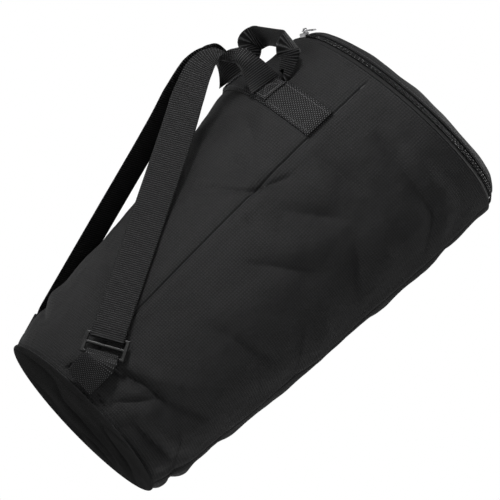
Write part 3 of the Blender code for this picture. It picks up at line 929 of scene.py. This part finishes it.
# --- lid and zip ---
def lid_point(angle, share, depth=0.0):
    """The lid's skin: share 1 is its lower edge, 0 the crown."""
    side_share = 0.80
    if share > side_share:
        up = (1.0 - share) / (1.0 - side_share)
        along = LID_EDGE + (LID_SIDE_END - LID_EDGE) * up
        place = slope_point(angle, along, -0.0012 + depth)
        place += place.xy.to_3d().normalized() * (0.0011 * math.sin(math.pi * up))
    else:
        edge = slope_point(0.0, LID_SIDE_END, -0.0012 + depth)
        part = share / side_share
        rise = (1.0 - part ** 2.4) * 0.8 + (1.0 - part ** 1.2) * 0.2
        radius = edge.y * part
        height = edge.z + (LID_CROWN - depth - edge.z) * rise
        place = around(angle, radius, height)
    spread = Vector((place.x * 16.0, place.y * 16.0, 1.3))
    slack = 0.0026 * noise.noise(spread) + 0.0012 * noise.noise(spread * 2.4)
    calmed = min(1.0, (1.0 - share) / 0.30) ** 2
    place.z += (slack - 0.0008) * calmed
    return RIM @ place


def build_lid():
    rings = [1.0 - 0.20 * k / 10 for k in range(10)] + [0.80 - 0.80 * k / 60 for k in range(60)]
    lid = disc("lid_cloth", 360, rings, lid_point, lambda a, s: lid_point(a, s, CLOTH),
               CLOTH_LOOK, flat_uv(RIM_RADIUS))
    keep(lid, "lid", "oxford_cloth", "lid_panel")
    ring = steps(0.0, 360.0 - 2.0, 179)
    tape = rim_sheet("lid_tape", ring, steps(0.0220, 0.0258, 4), (0.0006, 0.0015),
                     BINDING_LOOK, True)
    keep(tape, "lid", "binding_tape", "lid_binding")


def coil(name, along, shift, body, node):
    """A coil of bent wire, wound round the zip's line."""
    pitch = 0.0015
    turn_points = 9
    wire = 0.00036
    radius = RIM_RADIUS - 0.008
    arc = [math.radians(a) for a in ZIP_ARC]
    turns = int((arc[1] - arc[0]) * radius / pitch)
    half_along = (along[1] - along[0]) / 2 - wire
    half_depth = 0.00105 - wire
    middle = sum(along) / 2
    path = []
    for k in range(turns * turn_points + 1):
        turn = k / turn_points
        angle = ZIP_ARC[0] + (ZIP_ARC[1] - ZIP_ARC[0]) * turn / turns
        a = 2 * math.pi * (turn + shift)
        path.append(on_rim(angle, middle + half_along * math.cos(a),
                           COIL_MIDDLE + half_depth * math.sin(a)))
    keep(tube(name, [path], wire, COIL_LOOK, 5), body, "zip_coil", node)


def build_zip():
    for name, body, node, along in (("zip_tape_lower", "bag", "body_zip_tape", (0.0020, 0.0080)),
                                    ("zip_tape_upper", "lid", "lid_zip_tape", (0.01045, 0.0215))):
        tape = rim_sheet(name, columns_over(*ZIP_ARC, 1.2), steps(*along, 8), (0.0009, 0.0018),
                         ZIP_TAPE_LOOK)
        keep(tape, body, "zip_tape", node)
    coil("zip_coil_lower", BODY_COIL, 0.0, "bag", "body_zip_coil")
    coil("zip_coil_upper", LID_COIL, 0.5, "lid", "lid_zip_coil")
    gap = math.degrees(0.0004 / (RIM_RADIUS - LID_COIL[1]))
    for name, angle, way in (("top", ZIP_ARC[0], -1), ("bottom", ZIP_ARC[1], 1)):
        ends = sorted((angle + way * gap, angle + way * (gap + 2.0)))
        stop = rim_sheet("zip_end_" + name, steps(*ends, 8), steps(0.0071, 0.0129, 8),
                         (-0.0016, 0.0003), COIL_LOOK)
        soften(stop, 0.0005, 2)
        keep(stop, "bag", "zip_coil", "zip_stop_" + name)


def build_hinge():
    first, last = 0.0020, 0.0156

    def outer(angle, along):
        share = (along - first) / (last - first)
        return on_rim(angle, along, -0.0009 - 0.0007 * math.sin(math.pi * share))

    strip = sheet_block("hinge_strip", columns_over(*HINGE_ARC, 0.8), steps(first, last, 16),
                        outer, lambda a, b: on_rim(a, b, 0.0006), CLOTH_LOOK, uv=band_uv)
    middle = sum(HINGE_ARC) / 2
    bend_piece(strip, on_rim(middle, 0.0050, 0.0), on_rim(middle, 0.0130, 0.0),
               "lid_hinge")


def soften(piece, width, segments):
    """Rounds a hard piece's edges."""
    bevel = piece.modifiers.new("edges", "BEVEL")
    bevel.width = width
    bevel.segments = segments
    bevel.limit_method = "ANGLE"
    bevel.angle_limit = math.radians(35)
    bevel.harden_normals = True


# --- slider and pull ---
SLIDER_ANGLE = -7.0
SLIDER_ARC = 8.0
SLIDER_TOP = -0.0042       # depth of the plate's outer face
SLIDER_UNDER = -0.0022
CROWN_LENGTH = 0.0110
CROWN_RISE = 0.0052
CROWN_BAR = 0.0014
CROWN_WIDTH = 0.0026
PULL_LENGTH = 0.0380
PULL_WIDTH = 0.0090
PULL_THICKNESS = 0.0012


def axes_matrix(*axes):
    return Matrix(axes).transposed().to_4x4()


def slider_matrix():
    along = outwards(SLIDER_ANGLE + 90.0)
    outward = outwards(SLIDER_ANGLE) * math.cos(SLOPE) + Vector((0.0, 0.0, math.sin(SLOPE)))
    across = outward.cross(along)
    middle = (BODY_COIL[0] + LID_COIL[1]) / 2
    place = slope_point(SLIDER_ANGLE, middle, SLIDER_TOP)
    return RIM @ Matrix.Translation(place) @ axes_matrix(along, across, outward)


def merged(name, parts, look):
    """One object from several; the parts are removed."""
    bm = bmesh.new()
    for part in parts:
        start = len(bm.verts)
        bm.from_mesh(part.data)
        bm.verts.ensure_lookup_table()
        bmesh.ops.transform(bm, matrix=part.matrix_basis, verts=bm.verts[start:])
        bpy.data.objects.remove(part)
    return link(name, bm, look)


def arch(start, end, rise, foot):
    """Points of a low arch in the slider's frame, from below one end to below the other."""
    squareness = 0.55
    count = 12
    points = [(start, -foot)]
    for k in range(count + 1):
        t = math.pi * (1 - k / count)
        share = math.copysign(abs(math.cos(t)) ** squareness, math.cos(t))
        points.append(((start + end) / 2 + (end - start) / 2 * share,
                       rise * abs(math.sin(t)) ** squareness))
    points.append((end, -foot))
    return [(Vector((x, 0.0, z)), Vector((0.0, 1.0, 0.0)), CROWN_WIDTH) for x, z in points]


def build_slider():
    section_out = [(0.0052, 0.0003), (0.0052, -0.0030), (0.0060, SLIDER_TOP), (0.01130, SLIDER_TOP)]
    section_in = [(0.0064, 0.0003), (0.0064, -0.0018), (0.0068, SLIDER_UNDER), (0.01015, SLIDER_UNDER)]
    angles = steps(SLIDER_ANGLE - SLIDER_ARC / 2, SLIDER_ANGLE + SLIDER_ARC / 2, 10)
    plate = sheet_block("plate", angles, [0, 1, 2, 3], lambda a, k: on_rim(a, *section_out[k]),
                        lambda a, k: on_rim(a, *section_in[k]), METAL_LOOK)
    half = CROWN_LENGTH / 2 - CROWN_BAR / 2
    crown = ribbon("crown", arch(-half, half, CROWN_RISE - CROWN_BAR / 2, 0.0010),
                   CROWN_BAR, METAL_LOOK)
    crown.matrix_basis = slider_matrix()
    slider = merged("slider", [plate, crown], METAL_LOOK)
    soften(slider, 0.00035, 2)
    keep(slider, "slider", "zip_metal", "zip_slider")


def build_pull():
    """A flat tab with an eye round the crown's bar and a raised rim round its grip."""
    bar = CROWN_BAR
    eye_end = CROWN_LENGTH / 2 + 0.0008
    outline = [(-bar / 2, 0.86), (bar / 2, 0.92), (eye_end, 1.0), (0.0100, 0.98), (0.0140, 0.92),
               (0.0209, 0.86), (0.0300, 0.76), (0.0345, 0.70), (0.0368, 0.60), (PULL_LENGTH, 0.40)]
    bm = bmesh.new()
    rows = []
    for x, share in outline:
        w = PULL_WIDTH / 2 * share
        hole = min(0.0026, w - 0.0012)
        rows.append([bm.verts.new((x, y, PULL_THICKNESS / 2)) for y in (-w, -hole, hole, w)])
    grip = []
    for k in range(len(rows) - 1):
        for j in range(3):
            if k == 1 and j == 1:
                continue
            face = bm.faces.new((rows[k][j], rows[k + 1][j], rows[k + 1][j + 1], rows[k][j + 1]))
            if j == 1 and 4 <= k <= 7:
                grip.append(face)
    thicken(bm, PULL_THICKNESS)
    bmesh.ops.inset_region(bm, faces=[f for f in grip if f.is_valid], thickness=0.0005,
                           depth=-0.00025)
    pull = link("pull_tab", bm, METAL_LOOK)
    lift = (CROWN_RISE - CROWN_BAR) / 2 + 0.0002
    pull.data.transform(slider_matrix() @ Matrix.Translation((0.0, 0.0, lift)))
    soften(pull, 0.00028, 2)
    keep(pull, "pull", "zip_metal", "zip_pull")


# --- webbing ---
PATCH_ANGLE = math.degrees(PATCH_X / (RIM_RADIUS + STRAP_TENT))
PATCH_HALF = math.degrees(PATCH_WIDTH / 2 / RIM_RADIUS)
BAND_LOW = share_at(BAND_HEIGHT - WEB_WIDTH / 2)
BAND_HIGH = share_at(BAND_HEIGHT + WEB_WIDTH / 2)
BAND_FACE = -0.0025        # depth of the band's outer face
PATCH_FACE = -0.0044


def build_band():
    def outer(angle, share):
        edge = min(share - BAND_LOW, BAND_HIGH - share) * WALL_LENGTH
        return skin(angle, share, BAND_FACE + 0.0006 * math.exp(-(edge / 0.0009) ** 2))

    band = sheet_block("anchor_band", columns_over(-BACK_SEAM + 0.2, BACK_SEAM - 0.2),
                       eased_shares(BAND_LOW, BAND_HIGH, 24), outer,
                       lambda a, s: skin(a, s, -0.0006), BAND_LOOK,
                       uv=lambda a, s: (s * WALL_LENGTH, band_uv(a, s)[0]))
    keep(band, "bag", "webbing", "strap_anchor_band")
    inset = 0.08 * (BAND_HIGH - BAND_LOW)
    for side, name in ((1, "left"), (-1, "right")):
        centre = side * PATCH_ANGLE
        patch = wall_sheet(
            "strap_end_" + name, columns_over(centre - PATCH_HALF, centre + PATCH_HALF),
            eased_shares(BAND_LOW + inset, BAND_HIGH - inset, 22),
            (PATCH_FACE, BAND_FACE - 0.0004), BAND_LOOK,
            uv=lambda a, s: band_uv(a, s * WALL_LENGTH))
        soften(patch, 0.0004, 2)
        keep(patch, "bag", "webbing", "strap_patch_" + name)


def flipped(vector, side):
    return Vector((vector[0] * side, vector[1], vector[2]))


ADJUSTER_AT = Vector((0.1010, 0.0745, 0.0520))
ADJUSTER_WIDTH = 0.0500
ADJUSTER_HEIGHT = 0.0250
ADJUSTER_THICKNESS = 0.0034
ADJUSTER_RAIL = 0.0046
ADJUSTER_BAR = 0.0034
# Where the CAD model's strap leaves its patch, and the direction across its webbing there.
STRAP_TOP = Vector((0.04997, 0.14896, 0.38416))
STRAP_AXIS = Vector((-0.118318, 0.218072, 0.968734))
# The gripped strap twists and folds: (place, direction across the webbing, width folded).
STRAP_WAY = [((0.0400, 0.1770, 0.3880), (0.45, 0.15, 0.80), 0.0240),
             ((0.0300, 0.1930, 0.3850), (0.90, 0.10, 0.35), 0.0220),
             ((0.0220, 0.2050, 0.3700), (0.80, -0.35, 0.10), 0.0270),
             ((0.0200, 0.2050, 0.3480), (0.65, -0.60, 0.20), 0.0330),
             ((0.0245, 0.1920, 0.3160), (0.55, -0.68, 0.35), 0.0370)]
STRAP_BEND = Vector((0.0350, 0.1720, 0.2750))
TAB_FOOT = Vector((0.09623, 0.06369, 0.0054))
TAB_FOOT_WAY = Vector((0.552, -0.834, 0.0))
HAUL_FOOT = Vector((0.0570, 0.144924, 0.404246))
HAUL_FOOT_WIDTH = 0.0150
HAUL_TOP = 0.4400
HAUL_WIDTH = 0.0300
HAUL_BAR_Y = 0.1635
CLEAR = 0.0004
SLOT = (ADJUSTER_HEIGHT - 3 * ADJUSTER_BAR) / 2
HOOK_END = 0.0100          # how far a webbing end is sewn back beyond the buckle's bar
HOOK_LIFT = 0.0012
HOOK_HALF = 0.0009         # half the webbing's thickness in the CAD model
BAR_PAST = 0.0016          # where the webbing starts to turn round the bar
TURN_START = 0.0006
TURN_SHARE = 0.45          # share of the standoff at the two points inside the slot
STRAP_START = (0.0400, 0.0040)   # run and standoff where the strap nears its buckle


def adjuster_axes():
    hint = Vector((0.82, 0.57, 0.0))
    run = (STRAP_BEND - ADJUSTER_AT).normalized()
    outward = (hint - run * hint.dot(run)).normalized()
    return run.cross(outward), run, outward


def hook(sign):
    """Route of a webbing end round an outer bar, as (run, outward) from the middle."""
    bar = (ADJUSTER_HEIGHT - ADJUSTER_BAR) / 2
    off = ADJUSTER_THICKNESS / 2 + CLEAR + HOOK_HALF
    inside = ADJUSTER_HEIGHT / 2 - ADJUSTER_BAR - CLEAR - HOOK_HALF
    deepest = inside - min(SLOT - 0.0026, 0.0018) * 0.2
    way = [(bar + HOOK_END, off + HOOK_LIFT), (bar + BAR_PAST, off), (inside + TURN_START, off),
           (deepest, off * TURN_SHARE), (deepest, -off * TURN_SHARE),
           (inside + TURN_START, -off), (bar + BAR_PAST, -off), (bar + HOOK_END, -off)]
    return [(sign * run, out) for run, out in way]


def strap_route(side):
    bar, run, outward = adjuster_axes()
    way = [(STRAP_TOP, STRAP_AXIS, WEB_WIDTH)]
    way += [(Vector(place), Vector(across), width) for place, across, width in STRAP_WAY]
    start, *ends = [ADJUSTER_AT + run * along + outward * out
                    for along, out in [STRAP_START] + hook(1.0)]
    for place in [STRAP_BEND, STRAP_BEND.lerp(start, 0.5), start] + ends:
        way.append((place, -bar, WEB_WIDTH))
    return smooth_route([(flipped(p, side), flipped(w, side), width) for p, w, width in way], 10)


def tab_route(side):
    bar, run, outward = adjuster_axes()
    ends = [ADJUSTER_AT + run * along + outward * out for along, out in hook(-1.0)]
    middle = TAB_FOOT.lerp(ends[0], 0.5) + outward * 0.0015
    way = [(TAB_FOOT, TAB_FOOT_WAY), (middle, TAB_FOOT_WAY.lerp(-bar, 0.5))]
    way += [(place, -bar) for place in ends]
    return smooth_route([(flipped(p, side), flipped(w, side), WEB_WIDTH) for p, w in way], 10)


def build_adjuster(side, name):
    bar, run, outward = adjuster_axes()
    half = ADJUSTER_WIDTH / 2
    us = [-half, -half + ADJUSTER_RAIL, half - ADJUSTER_RAIL, half]
    vs = [-ADJUSTER_HEIGHT / 2]
    for size in (ADJUSTER_BAR, SLOT, ADJUSTER_BAR, SLOT, ADJUSTER_BAR):
        vs.append(vs[-1] + size)
    bm = bmesh.new()
    grid = [[bm.verts.new((u, v, ADJUSTER_THICKNESS / 2)) for u in us] for v in vs]
    for j in range(5):
        for i in range(3):
            if i != 1 or j not in (1, 3):
                bm.faces.new((grid[j][i], grid[j][i + 1], grid[j + 1][i + 1], grid[j + 1][i]))
    thicken(bm, ADJUSTER_THICKNESS)
    mirror = Matrix.Diagonal((side, 1.0, 1.0, 1.0))
    place = mirror @ Matrix.Translation(ADJUSTER_AT) @ axes_matrix(bar, run, outward)
    bmesh.ops.transform(bm, matrix=place, verts=bm.verts)
    adjuster = link("buckle_" + name, bm, PLASTIC_LOOK)
    soften(adjuster, 0.0012, 4)
    keep(adjuster, "strap_" + name, "adjuster_plastic", "strap_adjuster_" + name)


def build_straps():
    for side, name in ((-1, "left"), (1, "right")):
        body = "strap_" + name
        strap = ribbon("strap_web_" + name, strap_route(side), WEBBING, WEB_LOOK, folds=True)
        keep(strap, body, "webbing", "shoulder_strap_" + name)
        build_adjuster(side, name)
        tab = ribbon("tab_web_" + name, tab_route(side), WEBBING, TAB_LOOK)
        moving_end = TAB_FOOT.lerp(ADJUSTER_AT, 0.6)
        bend_piece(tab, flipped(TAB_FOOT, side), flipped(moving_end, side),
                   "strap_tab_" + name)


def haul_route():
    half, foot_y, foot_z = HAUL_FOOT
    corner = 0.012
    upright = 0.0036
    rising = [(half, foot_y, foot_z, HAUL_FOOT_WIDTH),
              (half, foot_y, foot_z + upright, HAUL_FOOT_WIDTH),
              (half, (foot_y + HAUL_BAR_Y) / 2, (foot_z + HAUL_TOP) / 2,
               (HAUL_FOOT_WIDTH + HAUL_WIDTH) / 2)]
    rising += [(x, HAUL_BAR_Y, HAUL_TOP - drop, HAUL_WIDTH) for x, drop in
               ((half, corner), (half - 0.3 * corner, 0.3 * corner), (half - corner, 0.0),
                (half * 0.4, 0.0))]
    falling = [(-x, y, z, width) for x, y, z, width in reversed(rising)]
    return [(Vector((x, y, z)), Vector((0.0, 1.0, 0.0)), width)
            for x, y, z, width in rising + falling]


def build_haul_loop():
    loop = ribbon("haul_web", smooth_route(haul_route(), 10), WEBBING, WEB_LOOK)
    bend_piece(loop, (0.0, HAUL_FOOT.y, 0.4043), (0.0, 0.1500, 0.4200),
               "haul_loop")


# --- stitching ---
STITCH_LIFT = 0.00008


def wall_line(angles, shares, face):
    return [skin(a, s, face - STITCH_LIFT) for a, s in zip(angles, shares)]


def build_stitches():
    pad = 0.0045 / WALL_LENGTH
    angles = columns_over(-BACK_SEAM + 0.5, BACK_SEAM - 0.5)
    for name, share in (("low", BAND_LOW + pad), ("high", BAND_HIGH - pad)):
        path = wall_line(angles, [share] * len(angles), BAND_FACE)
        keep(stitch_row("band_stitches_" + name, path, THREAD_LOOK), "bag", "webbing")
    inset = 0.08 * (BAND_HIGH - BAND_LOW) + 0.0032 / WALL_LENGTH
    for side, name in ((1, "left"), (-1, "right")):
        left, right = (side * PATCH_ANGLE + way * PATCH_HALF * 0.80 for way in (-1, 1))
        low, high = BAND_LOW + inset, BAND_HIGH - inset
        corners = [(left, low), (right, low), (right, high), (left, high), (left, low),
                   (right, high), (right, low), (left, high)]
        path = []
        for (a0, s0), (a1, s1) in zip(corners, corners[1:]):
            path += wall_line(steps(a0, a1, 16), steps(s0, s1, 16), PATCH_FACE)
        keep(stitch_row("patch_stitches_" + name, path, THREAD_LOOK), "bag", "webbing")
    lid_edge = [lid_point(a, 0.945, -STITCH_LIFT) for a in steps(0.0, 360.0, 720)]
    keep(stitch_row("lid_stitches", lid_edge, THREAD_LOOK), "lid", "oxford_cloth")


# --- camera, light and floor ---
def build_camera():
    ahead = (-VIEW_SIDE.normalized() * math.cos(VIEW_BELOW)
             + Vector((0.0, 0.0, math.sin(VIEW_BELOW))))
    level = ahead.cross(Vector((0.0, 0.0, 1.0))).normalized()
    upright = level.cross(ahead)
    right = upright * math.sin(VIEW_ROLL) + level * math.cos(VIEW_ROLL)
    up = upright * math.cos(VIEW_ROLL) - level * math.sin(VIEW_ROLL)
    data = bpy.data.cameras.new("camera")
    data.lens = VIEW_LENS
    camera = bpy.data.objects.new("camera", data)
    bpy.context.scene.collection.objects.link(camera)
    stand = Matrix.Translation(VIEW_TARGET - ahead * VIEW_DISTANCE)
    camera.matrix_world = stand @ axes_matrix(right, up, -ahead)
    bpy.context.scene.camera = camera


def build_floor():
    """A pale floor, open under the base, and clear from below because the view looks up."""
    far = 40.0
    count = 96
    bm = bmesh.new()
    join_rings(bm, [[bm.verts.new(around(360.0 * k / count, radius)) for k in range(count)]
                    for radius in (far, FLOOR_REACH, FLOOR_OPENING)])
    g = Graph("floor", 0.8, 0.2)
    g.colour(g.ramp(g.noise(3.0), (0.3, grey(0.80, 1.0)), (0.7, grey(0.84, 1.0))))
    g.set("Emission Color", (1.0, 1.0, 1.0, 1.0))
    seen = g.node("ShaderNodeLightPath").outputs["Is Camera Ray"]
    distance = g.node("ShaderNodeVectorMath", operation="LENGTH")
    g.join(g.place(), distance.inputs[0])
    away = g.math("MINIMUM", g.math("DIVIDE", distance.outputs["Value"], FLOOR_REACH), 1.0)
    pale = g.plus(g.times(away, FLOOR_FAR - FLOOR_SEEN), FLOOR_SEEN)
    glow = g.plus(g.times(seen, pale), FLOOR_GLOW)
    g.join(glow, g.shader.inputs["Emission Strength"])
    clear = g.node("ShaderNodeBsdfTransparent")
    choice = g.node("ShaderNodeMixShader")
    g.join(g.node("ShaderNodeNewGeometry").outputs["Backfacing"], choice.inputs[0])
    g.join(g.shader.outputs[0], choice.inputs[1])
    g.join(clear.outputs[0], choice.inputs[2])
    g.join(choice.outputs[0], g.tree.nodes["Material Output"].inputs["Surface"])
    link("floor", bm, g.look, outward=False)


def area_light(name, place, size, power):
    data = bpy.data.lights.new(name, "AREA")
    data.shape = "DISK"
    data.size = size
    data.energy = power
    light = bpy.data.objects.new(name, data)
    bpy.context.scene.collection.objects.link(light)
    light.location = place
    light.rotation_mode = "QUATERNION"
    light.rotation_quaternion = (VIEW_TARGET - light.location).to_track_quat("-Z", "Y")


def build_light():
    """A white room that the view sees at full strength and the bag sees dimmer."""
    world = bpy.data.worlds.new("studio")
    world.use_nodes = True
    tree = world.node_tree
    room = tree.nodes["Background"]
    backdrop = tree.nodes.new("ShaderNodeBackground")
    for source, strength in ((room, ROOM_LIGHT), (backdrop, 1.0)):
        source.inputs["Color"].default_value = (1.0, 1.0, 1.0, 1.0)
        source.inputs["Strength"].default_value = strength
    choice = tree.nodes.new("ShaderNodeMixShader")
    ray = tree.nodes.new("ShaderNodeLightPath")
    tree.links.new(ray.outputs["Is Camera Ray"], choice.inputs[0])
    tree.links.new(room.outputs[0], choice.inputs[1])
    tree.links.new(backdrop.outputs[0], choice.inputs[2])
    tree.links.new(choice.outputs[0], tree.nodes["World Output"].inputs["Surface"])
    bpy.context.scene.world = world
    area_light("key", Vector((-0.9, 1.9, 1.2)), 0.5, 54.0)
    area_light("fill", Vector((-2.2, 0.5, 0.3)), 1.0, 9.0)
    area_light("top", Vector((0.5, -0.8, 2.4)), 1.4, 30.0)
    bpy.context.scene.view_settings.view_transform = "Standard"


def main():
    build_camera()
    build_floor()
    build_light()
    build_walls()
    build_inner_tapes()
    build_base()
    build_lid()
    build_zip()
    build_hinge()
    build_slider()
    build_pull()
    build_band()
    build_straps()
    build_haul_loop()
    build_stitches()


main()
